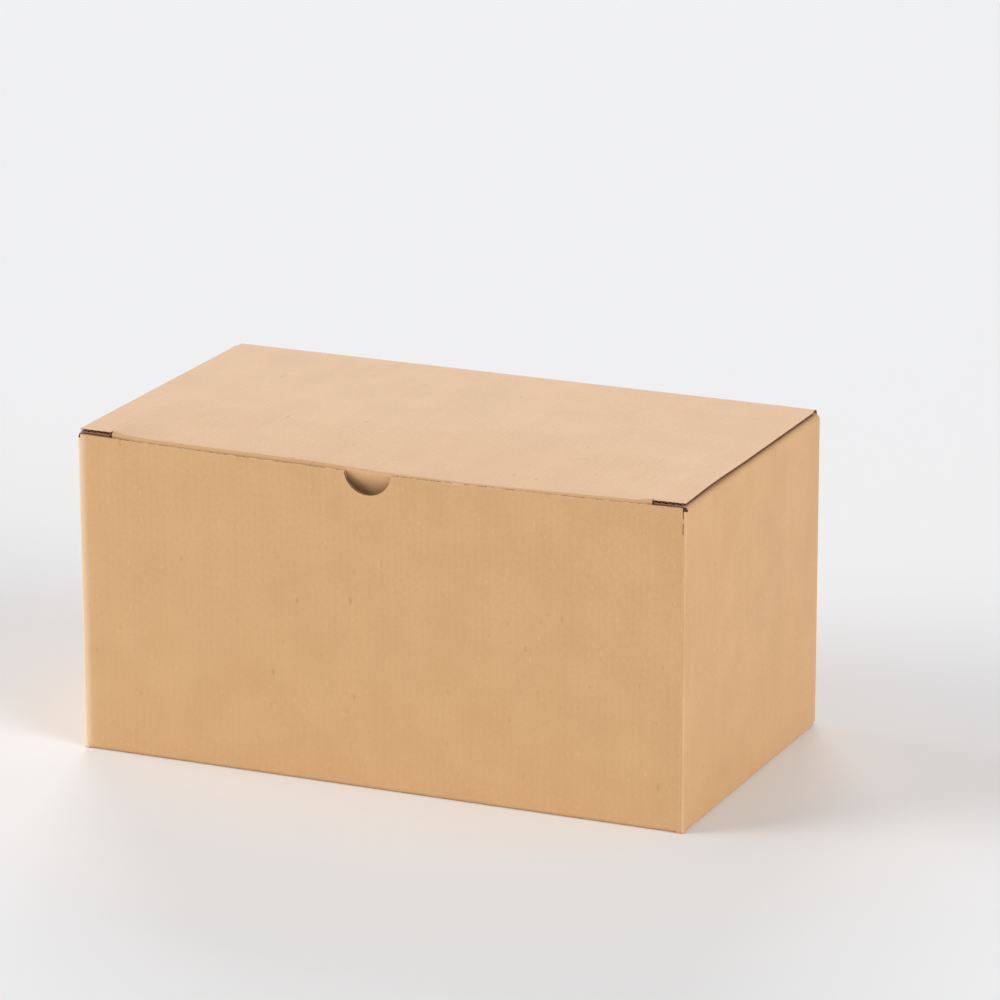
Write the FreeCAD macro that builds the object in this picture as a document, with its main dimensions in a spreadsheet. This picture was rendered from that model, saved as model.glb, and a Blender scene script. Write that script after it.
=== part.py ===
import FreeCAD, Part
import math
import os
import Sketcher

# A tuck-top carton folded from one sheet of fine-flute corrugated board.
# X runs along the front, the front panel faces -Y, Z is up.
# The origin is the middle of the base, on the surface that the carton stands on.
# All sizes are in millimetres.

SIZES = [
    ("width", 300.0, "outside width of the front panel"),
    ("depth", 168.0, "outside depth, front panel to back panel"),
    ("height", 154.0, "floor to the top of the closed lid"),
    ("board", 1.6, "caliper of the corrugated board"),
    ("crease", 0.5, "inside radius of a crease"),
    ("layer_gap", 0.3, "air between two layers that lie on each other"),
    ("front_drop", 3.0, "lid top down to the cut edge of the front panel"),
    ("edge_setback", 0.8, "front face back to the raw edge of the right panel"),
    ("seam_gap", 0.6, "free end of the front panel's right crease to the right panel's inner face"),
    ("glue_width", 16.0, "width of the glue flap inside the right panel"),
    ("glue_drop", 10.5, "crease end down to where the glue flap starts"),
    ("glue_taper", 5.0, "further drop of the glue flap's slanted ends"),
    ("notch_radius", 12.0, "radius of the thumb notch"),
    ("notch_offset", 2.5, "thumb notch centre, left of the middle"),
    ("dust_length", 80.0, "length of a dust flap past its crease"),
    ("dust_setback", 5.0, "outer faces back to the dust flap's long edges"),
    ("dust_corner", 12.0, "slant at the free corners of a dust flap"),
    ("shoulder", 16.0, "length of the dust flap shoulder under a lid corner"),
    ("lid_inset", 1.4, "outer face in to the lid's side edge"),
    ("lid_roll", 3.0, "outside radius of the lid's front crease"),
    ("slit_length", 16.0, "length of the slit at each end of the front crease"),
    ("slit_gap", 0.5, "width of the cut at the inner end of a slit"),
    ("tuck_length", 28.0, "length of the tuck flap below its crease"),
    ("tuck_lean", 5.5, "degrees that the tuck flap leans inwards"),
    ("tuck_corner", 14.0, "corner radius of the tuck flap"),
    ("hinge_gap", 0.3, "back panel's top edge to the end of the lid's crease"),
    ("corner_relief", 3.0, "outer side face in to the ends of the long base creases"),
    ("side_relief", 3.5, "outer front and back faces in to the side base creases"),
    ("flap_inset", 17.0, "outer side face in to the long base flaps"),
    ("ramp_start", 1.0, "crease to where a base flap begins to rise"),
    ("side_ramp", 12.0, "run over which a side base flap rises one layer"),
    ("side_flap", 86.0, "length of a side base flap past its crease"),
    ("side_flap_slant", 44.0, "slant of the side base flap's front edge"),
    ("side_flap_back", 26.0, "back face in to the side base flap's back edge"),
    ("back_ramp", 20.0, "run over which the back base flap rises two layers"),
    ("back_flap", 98.0, "length of the back base flap past its crease"),
    ("back_corner", 22.0, "slant at the corners of the back base flap"),
    ("recess_width", 94.0, "width of the recess in the back base flap"),
    ("recess_depth", 46.0, "depth of the recess in the back base flap"),
    ("front_flap", 88.0, "length of the front base flap past its crease"),
    ("front_corner", 26.0, "slant at the corners of the front base flap"),
    ("tongue_width", 88.0, "width of the locking tongue"),
    ("tongue_ramp", 20.0, "run over which the tongue rises three layers"),
    ("tongue_grip", 24.0, "length of the tongue that lies on the back base flap"),
    ("tongue_corner", 10.0, "slant at the corners of the tongue"),
]

# Lines that several sketches share, as formulas over the sheet.
RIGHT = "dims.width / 2"
BACK = "dims.depth / 2"
FOLD = "(dims.board + dims.crease)"
DUST_TOP = "(dims.height - dims.board - dims.layer_gap)"
WALL_TOP = f"({DUST_TOP} - {FOLD})"
FRONT_TOP = "(dims.height - dims.front_drop)"
BACK_TOP = f"(dims.height - {FOLD} - dims.hinge_gap)"
LAYER = "(dims.board + dims.layer_gap)"
TUCK_FACE = f"({BACK} - {LAYER})"
SLIT_END = f"({RIGHT} - dims.lid_inset - dims.slit_length)"
SHOULDER_END = f"({RIGHT} - dims.shoulder)"
MARGIN = 1.0

doc = FreeCAD.newDocument("carton")
sheet = doc.addObject("Spreadsheet::Sheet", "dims")
for row, (alias, value, meaning) in enumerate(SIZES, start=1):
    sheet.set(f"A{row}", meaning)
    sheet.set(f"B{row}", str(value))
    sheet.setAlias(f"B{row}", alias)
doc.recompute()


def new_body(label):
    body = doc.addObject("PartDesign::Body", label)
    body.Label = label
    return body


def mirrored(loop):
    """The same outline on the other side of the sketch's vertical axis."""
    other = []
    for point in loop:
        other.append(tuple(f"-({item})" if index % 2 == 0 else item for index, item in enumerate(point)))
    return other


def add_segment(sketch, start, end, centre):
    """A line, or the short arc about centre, and the vertex numbers of its two ends."""
    if centre is None:
        return sketch.addGeometry(Part.LineSegment(start, end), False), 1, 2
    from_angle = math.atan2(start.y - centre.y, start.x - centre.x)
    to_angle = math.atan2(end.y - centre.y, end.x - centre.x)
    turn = (to_angle - from_angle + math.pi) % (2 * math.pi) - math.pi
    circle = Part.Circle(centre, FreeCAD.Vector(0, 0, 1), (start - centre).Length)
    if abs(abs(turn) - math.pi) < 1e-6 or turn > 0:
        return sketch.addGeometry(Part.ArcOfCircle(circle, from_angle, from_angle + abs(turn)), False), 1, 2
    return sketch.addGeometry(Part.ArcOfCircle(circle, to_angle, to_angle - turn), False), 2, 1


def pin(sketch, body, kind, geometry, vertex, formula):
    """Hold one coordinate of a vertex to a formula over the sheet."""
    value = float(body.evalExpression(formula))
    number = sketch.addConstraint(Sketcher.Constraint(kind, -1, 1, geometry, vertex, value))
    sketch.setExpression(f"Constraints[{number}]", formula)


def new_sketch(body, name, role, loops, offset="0"):
    """Closed outlines on an origin plane.

    A point is (x, y), followed by a line, or (x, y, centre x, centre y), followed by an arc.
    """
    sketch = body.newObject("Sketcher::SketchObject", name)
    plane = next(item for item in body.Origin.OriginFeatures if item.Role == role)
    sketch.AttachmentSupport = (plane, [""])
    sketch.MapMode = "FlatFace"
    sketch.setExpression("AttachmentOffset.Base.z", offset)
    for loop in loops:
        places = [[float(body.evalExpression(item)) for item in point] for point in loop]
        corners = [FreeCAD.Vector(place[0], place[1], 0) for place in places]
        segments = []
        for index, place in enumerate(places):
            centre = FreeCAD.Vector(place[2], place[3], 0) if len(place) == 4 else None
            following = corners[(index + 1) % len(corners)]
            segments.append(add_segment(sketch, corners[index], following, centre))
        for index, (geometry, first, last) in enumerate(segments):
            next_geometry, next_first, _ = segments[(index + 1) % len(segments)]
            sketch.addConstraint(Sketcher.Constraint("Coincident", geometry, last, next_geometry, next_first))
            pin(sketch, body, "DistanceX", geometry, first, loop[index][0])
            pin(sketch, body, "DistanceY", geometry, first, loop[index][1])
            if len(loop[index]) == 4:
                following = corners[(index + 1) % len(corners)]
                level = abs(following.y - corners[index].y) < 1e-6
                kind = "DistanceY" if level else "DistanceX"
                pin(sketch, body, kind, geometry, 3, loop[index][3 if level else 2])
    return sketch


def pad(body, name, role, loops, length, offset="0", symmetric=False):
    """Board added along the plane's normal, or to both sides of the plane."""
    feature = body.newObject("PartDesign::Pad", name)
    feature.Profile = (new_sketch(body, name + "_outline", role, loops, offset), [""])
    feature.SideType = "Symmetric" if symmetric else "One side"
    feature.setExpression("Length", length)
    return feature


def cut(body, name, role, loops, length, offset="0"):
    """Board cut away along the plane's normal."""
    feature = body.newObject("PartDesign::Pocket", name)
    feature.Profile = (new_sketch(body, name + "_outline", role, loops, offset), [""])
    feature.Reversed = True
    feature.setExpression("Length", length)
    return feature


def rectangle(left, right, low, high):
    return [(left, low), (right, low), (right, high), (left, high)]


def add_walls(body):
    """Four panels round the carton, with the glue flap inside the right one."""
    left = f"-{RIGHT}"
    front = f"-{BACK}"
    seam = f"({RIGHT} - dims.board)"
    outer = [
        (f"{seam} - {FOLD}", front, f"{seam} - {FOLD}", f"{front} + {FOLD}"),
        (seam, f"{front} + {FOLD}"),
        (seam, f"{front} + dims.edge_setback"),
        (RIGHT, f"{front} + dims.edge_setback"),
        (RIGHT, f"{BACK} - {FOLD}", f"{RIGHT} - {FOLD}", f"{BACK} - {FOLD}"),
        (f"{RIGHT} - {FOLD}", BACK),
        (f"{left} + {FOLD}", BACK, f"{left} + {FOLD}", f"{BACK} - {FOLD}"),
        (left, f"{BACK} - {FOLD}"),
        (left, f"{front} + {FOLD}", f"{left} + {FOLD}", f"{front} + {FOLD}"),
        (f"{left} + {FOLD}", front),
    ]
    inner = [
        (f"{seam} - {FOLD}", f"{front} + dims.board", f"{seam} - {FOLD}", f"{front} + {FOLD}"),
        (f"{seam} - dims.board", f"{front} + {FOLD}"),
        (f"{seam} - dims.board", f"{front} + dims.glue_width"),
        (seam, f"{front} + dims.glue_width"),
        (seam, f"{BACK} - {FOLD}", f"{RIGHT} - {FOLD}", f"{BACK} - {FOLD}"),
        (f"{RIGHT} - {FOLD}", f"{BACK} - dims.board"),
        (f"{left} + {FOLD}", f"{BACK} - dims.board", f"{left} + {FOLD}", f"{BACK} - {FOLD}"),
        (f"{left} + dims.board", f"{BACK} - {FOLD}"),
        (f"{left} + dims.board", f"{front} + {FOLD}", f"{left} + {FOLD}", f"{front} + {FOLD}"),
        (f"{left} + {FOLD}", f"{front} + dims.board"),
    ]
    pad(body, "walls", "XY_Plane", [outer, inner], f"{WALL_TOP} - {FOLD}", offset=FOLD)
    front_strip = rectangle(f"{left} + {FOLD}", f"{seam} - {FOLD}", front, f"{front} + dims.board")
    pad(body, "front_panel", "XY_Plane", [front_strip], f"{FRONT_TOP} - {FOLD}", offset=FOLD)
    back_strip = rectangle(f"{left} + {FOLD}", f"{RIGHT} - {FOLD}", f"{BACK} - dims.board", BACK)
    pad(body, "back_panel", "XY_Plane", [back_strip], f"{BACK_TOP} - {FOLD}", offset=FOLD)


def trim_glue_flap(body):
    """Slanted ends of the glue flap. Past them the front panel's crease stands free of the right panel."""
    crease = f"-{BACK} + {FOLD}"
    end = f"-{BACK} + dims.glue_width + {MARGIN}"
    upper = [
        (crease, f"{WALL_TOP} - dims.glue_drop"),
        (end, f"{WALL_TOP} - dims.glue_drop - dims.glue_taper"),
        (end, f"{WALL_TOP} + {MARGIN}"),
        (crease, f"{WALL_TOP} + {MARGIN}"),
    ]
    lower = [
        (crease, f"{FOLD} - {MARGIN}"),
        (end, f"{FOLD} - {MARGIN}"),
        (end, f"{FOLD} + dims.glue_drop + dims.glue_taper"),
        (crease, f"{FOLD} + dims.glue_drop"),
    ]
    cut(body, "glue_flap_ends", "YZ_Plane", [upper, lower], "dims.board", offset=f"{RIGHT} - 2 * dims.board")
    seam = f"{RIGHT} - dims.board"
    edge = f"{seam} - dims.seam_gap"
    upper_gap = rectangle(edge, seam, f"{WALL_TOP} - dims.glue_drop", f"{WALL_TOP} + {MARGIN}")
    lower_gap = rectangle(edge, seam, f"{FOLD} - {MARGIN}", f"{FOLD} + dims.glue_drop")
    cut(body, "seam_gaps", "XZ_Plane", [upper_gap, lower_gap], FOLD, offset=f"{BACK} - {FOLD}")


def add_dust_flaps(body):
    """Side creases rolled inwards at the top, and the flaps that lie under the lid."""
    bend = f"-{RIGHT} + {FOLD}"
    end = f"{bend} + dims.dust_length"
    left_flap = [
        (f"-{RIGHT}", WALL_TOP, bend, WALL_TOP),
        (bend, DUST_TOP),
        (end, DUST_TOP),
        (end, f"{DUST_TOP} - dims.board"),
        (bend, f"{DUST_TOP} - dims.board", bend, WALL_TOP),
        (f"-{RIGHT} + dims.board", WALL_TOP),
    ]
    loops = [left_flap, mirrored(left_flap)]
    pad(body, "dust_flaps", "XZ_Plane", loops, f"2 * {TUCK_FACE}", symmetric=True)
    edge = f"-{BACK} + dims.dust_setback"
    front_step = [
        (f"-{SHOULDER_END}", f"-{BACK} + dims.board"),
        (f"-{SHOULDER_END}", edge),
        (f"{end} - dims.dust_corner", edge),
        (end, f"{edge} + dims.dust_corner"),
        (f"{end} + {MARGIN}", f"{edge} + dims.dust_corner"),
        (f"{end} + {MARGIN}", f"-{BACK} + dims.board"),
    ]
    back_step = [(x, f"-({y})") for x, y in front_step]
    steps = [front_step, back_step, mirrored(front_step), mirrored(back_step)]
    cut(body, "dust_flap_steps", "XY_Plane", steps, "dims.board", offset=f"{DUST_TOP} - dims.board")


def cut_thumb_notch(body):
    """Half round in the top edge of the front panel."""
    centre = "-dims.notch_offset"
    loop = [
        (f"{centre} - dims.notch_radius", FRONT_TOP, centre, FRONT_TOP),
        (f"{centre} + dims.notch_radius", FRONT_TOP),
        (f"{centre} + dims.notch_radius", f"{FRONT_TOP} + {MARGIN}"),
        (f"{centre} - dims.notch_radius", f"{FRONT_TOP} + {MARGIN}"),
    ]
    cut(body, "thumb_notch", "XZ_Plane", [loop], "dims.board", offset=f"{BACK} - dims.board")


def add_side_base_flaps(body):
    """The second pair of base flaps: they rise one layer to lie on the front flap."""
    bend = f"-{RIGHT} + {FOLD}"
    foot = f"{bend} + dims.ramp_start"
    top = f"{foot} + dims.side_ramp"
    end = f"{bend} + dims.side_flap"
    profile = [
        (f"-{RIGHT}", FOLD, bend, FOLD),
        (bend, "0"),
        (foot, "0"),
        (top, LAYER),
        (end, LAYER),
        (end, f"{LAYER} + dims.board"),
        (top, f"{LAYER} + dims.board"),
        (foot, "dims.board"),
        (bend, "dims.board", bend, FOLD),
        (f"-{RIGHT} + dims.board", FOLD),
    ]
    length = "dims.depth - 2 * dims.side_relief"
    pad(body, "side_base_flaps", "XZ_Plane", [profile, mirrored(profile)], length, symmetric=True)
    root = f"-{BACK} + dims.dust_setback"
    front_cut = [
        (top, f"-{BACK} + dims.board"),
        (f"{end} + {MARGIN}", f"-{BACK} + dims.board"),
        (f"{end} + {MARGIN}", f"{root} + dims.side_flap_slant"),
        (end, f"{root} + dims.side_flap_slant"),
        (top, root),
    ]
    back_cut = rectangle(top, f"{end} + {MARGIN}", f"{BACK} - dims.side_flap_back", f"{BACK} - dims.board")
    loops = [front_cut, back_cut, mirrored(front_cut), mirrored(back_cut)]
    cut(body, "side_base_flap_outlines", "XY_Plane", loops, "dims.board", offset=LAYER)


def long_base_crease(body, name, side):
    """Crease along the foot of the front (side -1) or back (side 1) panel."""
    face = f"{side} * {BACK}"
    bend = f"{side} * ({BACK} - {FOLD})"
    tail = f"{side} * ({BACK} - dims.side_relief + dims.layer_gap)"
    profile = [
        (face, FOLD, bend, FOLD),
        (bend, "0"),
        (tail, "0"),
        (tail, "dims.board"),
        (bend, "dims.board", bend, FOLD),
        (f"{side} * ({BACK} - dims.board)", FOLD),
    ]
    pad(body, name, "YZ_Plane", [profile], "dims.width - 2 * dims.corner_relief", symmetric=True)


def add_back_base_flap(body):
    """The innermost base flap, with the recess that takes the tongue."""
    long_base_crease(body, "back_base_crease", 1)
    bend = f"{BACK} - {FOLD}"
    foot = f"{bend} - dims.ramp_start"
    top = f"{foot} - dims.back_ramp"
    end = f"{bend} - dims.back_flap"
    level = f"2 * {LAYER}"
    profile = [
        (bend, "0"),
        (foot, "0"),
        (top, level),
        (end, level),
        (end, f"{level} + dims.board"),
        (top, f"{level} + dims.board"),
        (foot, "dims.board"),
        (bend, "dims.board"),
    ]
    pad(body, "back_base_flap", "YZ_Plane", [profile], "dims.width - 2 * dims.flap_inset", symmetric=True)
    side = f"{RIGHT} - dims.flap_inset"
    half = "dims.recess_width / 2"
    recess = rectangle(f"-{half}", half, f"{end} - {MARGIN}", f"{end} + dims.recess_depth")
    corner = [
        (f"{side} - dims.back_corner", f"{end} - {MARGIN}"),
        (f"{side} + {MARGIN}", f"{end} - {MARGIN}"),
        (f"{side} + {MARGIN}", f"{end} + dims.back_corner"),
        (side, f"{end} + dims.back_corner"),
        (f"{side} - dims.back_corner", end),
    ]
    loops = [recess, corner, mirrored(corner)]
    cut(body, "back_base_flap_outline", "XY_Plane", loops, "dims.board", offset=level)


def add_front_base_flap(body):
    """The outermost base flap, and its tongue locked over the back one."""
    long_base_crease(body, "front_base_crease", -1)
    bend = f"-{BACK} + {FOLD}"
    end = f"{bend} + dims.front_flap"
    side = f"{RIGHT} - dims.flap_inset"
    half = "dims.tongue_width / 2"
    outline = [
        (f"-({side})", bend),
        (side, bend),
        (side, f"{end} - dims.front_corner"),
        (f"{side} - dims.front_corner", end),
        (f"-({side}) + dims.front_corner", end),
        (f"-({side})", f"{end} - dims.front_corner"),
    ]
    pad(body, "front_base_flap", "XY_Plane", [outline], "dims.board")
    top = f"{end} + dims.tongue_ramp"
    tip = f"{top} + dims.tongue_grip"
    level = f"3 * {LAYER}"
    tongue = [
        (f"{end} - dims.board", "0"),
        (end, "0"),
        (top, level),
        (tip, level),
        (tip, f"{level} + dims.board"),
        (top, f"{level} + dims.board"),
        (end, "dims.board"),
        (f"{end} - dims.board", "dims.board"),
    ]
    pad(body, "tongue", "YZ_Plane", [tongue], "dims.tongue_width", symmetric=True)
    corner = [
        (f"{half} - dims.tongue_corner", tip),
        (half, f"{tip} - dims.tongue_corner"),
        (f"{half} + {MARGIN}", f"{tip} - dims.tongue_corner"),
        (f"{half} + {MARGIN}", f"{tip} + {MARGIN}"),
        (f"{half} - dims.tongue_corner", f"{tip} + {MARGIN}"),
    ]
    cut(body, "tongue_corners", "XY_Plane", [corner, mirrored(corner)], "dims.board", offset=level)


def make_box_body():
    body = new_body("box_body")
    add_walls(body)
    trim_glue_flap(body)
    add_dust_flaps(body)
    cut_thumb_notch(body)
    add_side_base_flaps(body)
    add_back_base_flap(body)
    add_front_base_flap(body)
    return body


def make_lid():
    """Lid panel with its back crease, front crease between two slits, and tuck flap."""
    body = new_body("lid")
    underside = "dims.height - dims.board"
    bend = f"{BACK} - {FOLD}"
    bend_level = f"dims.height - {FOLD}"
    roll = f"-{TUCK_FACE} + dims.lid_roll"
    roll_level = "dims.height - dims.lid_roll"
    panel = [
        (f"-{TUCK_FACE}", "dims.height"),
        (f"-{TUCK_FACE}", underside),
        (bend, underside, bend, bend_level),
        (f"{BACK} - dims.board", bend_level),
        (BACK, bend_level, bend, bend_level),
        (bend, "dims.height"),
    ]
    pad(body, "lid_panel", "YZ_Plane", [panel], "dims.width - 2 * dims.lid_inset", symmetric=True)
    opening = rectangle(
        f"-{SLIT_END} - dims.slit_gap", f"{SLIT_END} + dims.slit_gap", f"-{TUCK_FACE} - {MARGIN}", roll
    )
    cut(body, "slits", "XY_Plane", [opening], "dims.board", offset=underside)
    lean_in = "sin(dims.tuck_lean * 1deg)"
    lean_down = "cos(dims.tuck_lean * 1deg)"
    inside = "(dims.lid_roll - dims.board)"
    outer_y = f"{roll} - dims.lid_roll * {lean_down}"
    outer_z = f"{roll_level} - dims.lid_roll * {lean_in}"
    tip_y = f"{outer_y} + dims.tuck_length * {lean_in}"
    tip_z = f"{outer_z} - dims.tuck_length * {lean_down}"
    tuck = [
        (roll, "dims.height", roll, roll_level),
        (outer_y, outer_z),
        (tip_y, tip_z),
        (f"{tip_y} + dims.board * {lean_down}", f"{tip_z} + dims.board * {lean_in}"),
        (f"{roll} - {inside} * {lean_down}", f"{roll_level} - {inside} * {lean_in}", roll, roll_level),
        (roll, underside),
    ]
    pad(body, "tuck_flap", "YZ_Plane", [tuck], f"2 * {SLIT_END}", symmetric=True)
    arc_x = f"{SLIT_END} - dims.tuck_corner"
    arc_z = f"{tip_z} + dims.tuck_corner"
    corner = [
        (SLIT_END, arc_z, arc_x, arc_z),
        (arc_x, tip_z),
        (arc_x, f"{tip_z} - {MARGIN}"),
        (f"{SLIT_END} + {MARGIN}", f"{tip_z} - {MARGIN}"),
        (f"{SLIT_END} + {MARGIN}", arc_z),
    ]
    cut(body, "tuck_corners", "XZ_Plane", [corner, mirrored(corner)], TUCK_FACE)
    return body


parts = [make_box_body(), make_lid()]
doc.recompute()

for item in doc.Objects:
    if "Invalid" in item.State or "Error" in item.State:
        raise RuntimeError(f"{item.Label} failed: {item.State} {item.getStatusString()}")
for body in parts:
    if body.Shape.isNull() or not body.Shape.isValid() or len(body.Shape.Solids) != 1:
        raise RuntimeError(f"{body.Label} is not one valid solid")

os.makedirs("parts", exist_ok=True)
for body in parts:
    body.Shape.exportStep(f"parts/{body.Label}.step")
    print(body.Label, "volume", round(body.Shape.Volume), "mm3", body.Shape.BoundBox)
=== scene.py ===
import bmesh
import bpy
import math
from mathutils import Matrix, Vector, noise


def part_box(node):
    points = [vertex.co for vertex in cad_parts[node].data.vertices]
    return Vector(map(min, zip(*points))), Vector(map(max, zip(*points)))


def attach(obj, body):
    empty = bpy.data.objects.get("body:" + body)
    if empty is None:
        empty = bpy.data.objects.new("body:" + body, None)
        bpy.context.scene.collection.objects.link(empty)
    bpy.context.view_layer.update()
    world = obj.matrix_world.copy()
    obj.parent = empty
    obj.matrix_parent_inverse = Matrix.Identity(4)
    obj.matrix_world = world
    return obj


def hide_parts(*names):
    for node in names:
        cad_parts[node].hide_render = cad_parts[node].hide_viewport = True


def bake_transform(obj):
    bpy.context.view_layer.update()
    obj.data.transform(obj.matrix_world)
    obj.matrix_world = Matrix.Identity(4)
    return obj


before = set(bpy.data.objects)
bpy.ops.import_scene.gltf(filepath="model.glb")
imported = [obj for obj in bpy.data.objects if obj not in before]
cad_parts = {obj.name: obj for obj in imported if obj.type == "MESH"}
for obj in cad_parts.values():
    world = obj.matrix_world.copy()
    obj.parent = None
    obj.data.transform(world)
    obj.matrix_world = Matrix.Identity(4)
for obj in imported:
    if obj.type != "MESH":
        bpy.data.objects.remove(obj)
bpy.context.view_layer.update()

MM = 0.001

# The folded carton, from the frame
carton_high = Vector(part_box("box_body")[1])
lid_high = Vector(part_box("lid")[1])
RIGHT = carton_high.x
BACK = carton_high.y
TOP = lid_high.z
LID_RIGHT = lid_high.x

# Fine-flute corrugated board: two paper liners on a waved middle
BOARD = 1.6 * MM
LINER = 0.22 * MM
MEDIUM = 0.14 * MM
FLUTE_PITCH = 3.3 * MM
FLUTE_STEPS = 6
FLUTE_INSET = MEDIUM * 0.4
CREASE = 0.5 * MM
LAYER_GAP = 0.3 * MM
FOLD = BOARD + CREASE
BEND = CREASE + BOARD / 2
BEND_RUN = BEND * math.pi / 2
LAYER = BOARD + LAYER_GAP

# Heights of the creases and cut edges
WALL_TOP = TOP - LAYER - FOLD
FRONT_TOP = TOP - 2.3 * MM
HINGE_LEVEL = TOP - FOLD
HINGE_SEAM = HINGE_LEVEL - 2.9 * MM

# Side seam, where the glue flap lies inside the right panel
SEAM = RIGHT - BOARD
RAW_EDGE = BACK - 0.8 * MM
GLUE_WIDTH = 16.0 * MM
GLUE_DROP = 10.5 * MM
GLUE_TAPER = 5.0 * MM
SEAM_GAP = 0.2 * MM
FIBRE_RISE = 5.2 * MM
FIBRE_HEIGHT = 1.9 * MM
FIBRE_GAP = 0.1 * MM

# Paper crushed pale, partly a painted highlight: a strip on the raw edge beside the seam, and the front
# panel's top edge
STRIP_WIDTH = 0.25 * MM
STRIP_OVERLAP = 0.06 * MM
STRIP_THICKNESS = BOARD * 0.98
CRUSH_DEPTH = 0.8 * MM
CRUSH_INSET = 0.12 * MM
CRUSH_THICKNESS = BOARD - 1.9 * LINER
RUB_DEPTH = 0.4 * MM
# Painted highlight along the left front fold: how strongly it is laid over the liner, and how far it
# reaches
FOLD_HIGHLIGHT = 0.55
FOLD_HIGHLIGHT_WIDTH = 5.0 * MM

# How a die-cut edge wavers
EDGE_WEAR = 0.22 * MM
WEAR_STEP = 1.3 * MM
WEAR_LENGTH = 2.1 * MM
WEAR_PLACE = 0.4

# How handling has bent the carton: its front bulges, its upright folds are pressed in, and it
# stands wider in front than at the back
BULGE = 3.2 * MM
BULGE_GROWTH = 1.6
BULGE_DROP = 0.8 * MM
BULGE_DROP_GROWTH = 4
SEAM_PRESS = 0.5 * MM
SEAM_PRESS_WIDTH = 8.0 * MM
SEAM_FILL = 0.9 * MM
SEAM_FILL_WIDTH = 1.2 * MM
SEAM_FILL_DEPTH = 2.5 * MM
SEAM_FILL_FADE = 1 * MM
LEFT_PRESS = 0.6 * MM
LEFT_PRESS_WIDTH = 9.0 * MM
LEFT_SPLAY = 1.5 * MM
RIGHT_SPLAY = 0.5 * MM
FOOT_SPLAY = 0.4

# How handling has bent the lid: it sags, its right edge lifts, one flat corner droops, its front
# crease follows the bulge, and a thumb has dented the tuck flap behind the notch
LID_SAG = 2.8 * MM
LID_SAG_X = 35.0 * MM
LID_SAG_WIDTH = 55.0 * MM
LID_SAG_LEAST = 0.55
LID_SAG_START = 10 * MM
LID_SAG_RUN = 70 * MM
LID_LIFT = 0.4 * MM
LID_LIFT_X = 0.8 * RIGHT
LID_LIFT_WIDTH = 0.2 * RIGHT
LID_LIFT_START = 0.1 * BACK
LID_LIFT_RUN = 0.4 * BACK
TAB_DROOP = 0.7 * MM
TAB_DROOP_WIDTH = 20 * MM
TAB_DROOP_START = 0.6 * BACK
TAB_DROOP_RUN = 0.4 * BACK
TAB_BLEND_START = -1 * MM
TAB_BLEND = 14 * MM
FOLLOW_START = 20 * MM
FOLLOW_RUN = 60 * MM
FOLLOW_LEFT = 0.64
FOLLOW_RIGHT = 0.43
FOLLOW_X = -30 * MM
FOLLOW_WIDTH = 40 * MM
FOLLOW_TIP = 0.3
FOLLOW_HEIGHT = 10 * MM
THUMB_DENT = 1.0 * MM
THUMB_DENT_X = -9.0 * MM
THUMB_DENT_WIDTH = 11.0 * MM
THUMB_DENT_REACH = 24 * MM
THUMB_DENT_START = 0.8 * BACK
THUMB_DENT_RUN = 0.1 * BACK
THUMB_DENT_DROP = 8 * MM

# Thumb notch in the front panel
NOTCH_RADIUS = 11.6 * MM
NOTCH_RISE = 1.0 * MM
NOTCH_X = -2.9 * MM
NOTCH_STEPS = 28

# Dust flaps
DUST_LENGTH = 80.0 * MM
DUST_SETBACK = 5.0 * MM
DUST_CORNER = 12.0 * MM
SHOULDER = 16.0 * MM

# Lid and tuck flap
LID_ROLL = 1.8 * MM
TUCK_LEAN = math.radians(7.5)
TUCK_LENGTH = 28.0 * MM
TUCK_CORNER = 14.0 * MM
SLIT_LENGTH = 16.0 * MM
SLIT_WIDTH = 0.5 * MM
TUCK_FACE = BACK - LAYER
CORNER_STEPS = 8
HINGE_STRIP = 4.0 * MM

# Base flaps, with a relief at each end of their creases
FLAP_INSET = 17.0 * MM
BASE_RELIEF = 3.0 * MM
SIDE_RELIEF = 3.5 * MM
RAMP_START = 1.0 * MM
SIDE_RAMP = 12.0 * MM
SIDE_FLAP = 86.0 * MM
SIDE_SLANT = 44.0 * MM
SIDE_BACK = 26.0 * MM
BACK_RAMP = 20.0 * MM
BACK_FLAP = 98.0 * MM
BACK_CORNER = 22.0 * MM
RECESS_HALF = 47.0 * MM
RECESS_DEPTH = 46.0 * MM
FRONT_FLAP = 88.0 * MM
FRONT_CORNER = 26.0 * MM
TONGUE_HALF = 44.0 * MM
TONGUE_RAMP = 20.0 * MM
TONGUE_GRIP = 24.0 * MM
TONGUE_CORNER = 10.0 * MM

# The feet of the front folds, crushed down beside the base creases
CORNER_DROP = 1.7 * MM
CORNER_LEFT = 1.3 * MM
CORNER_FRONT = 0.8 * MM
CORNER_SIDE = 3.4 * MM
CORNER_CUT = 0.02 * MM
NEAR = 0.05 * MM

# How far apart the cut lines are that let the sheet bend
GRID = 12 * MM
FLUTED_GRID = 40 * MM
FOLD_GRID = 1.5 * MM
PRESS_GRID = 1 * MM
DENT_GRID_U = 2 * MM
DENT_GRID_V = 1.6 * MM
DENT_ROWS = 16 * MM
BEND_STEPS = 6
FLUTED_BEND_STEPS = 3
ROLL_STEPS = 8
SMOOTH_ANGLE = math.radians(32)

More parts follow.
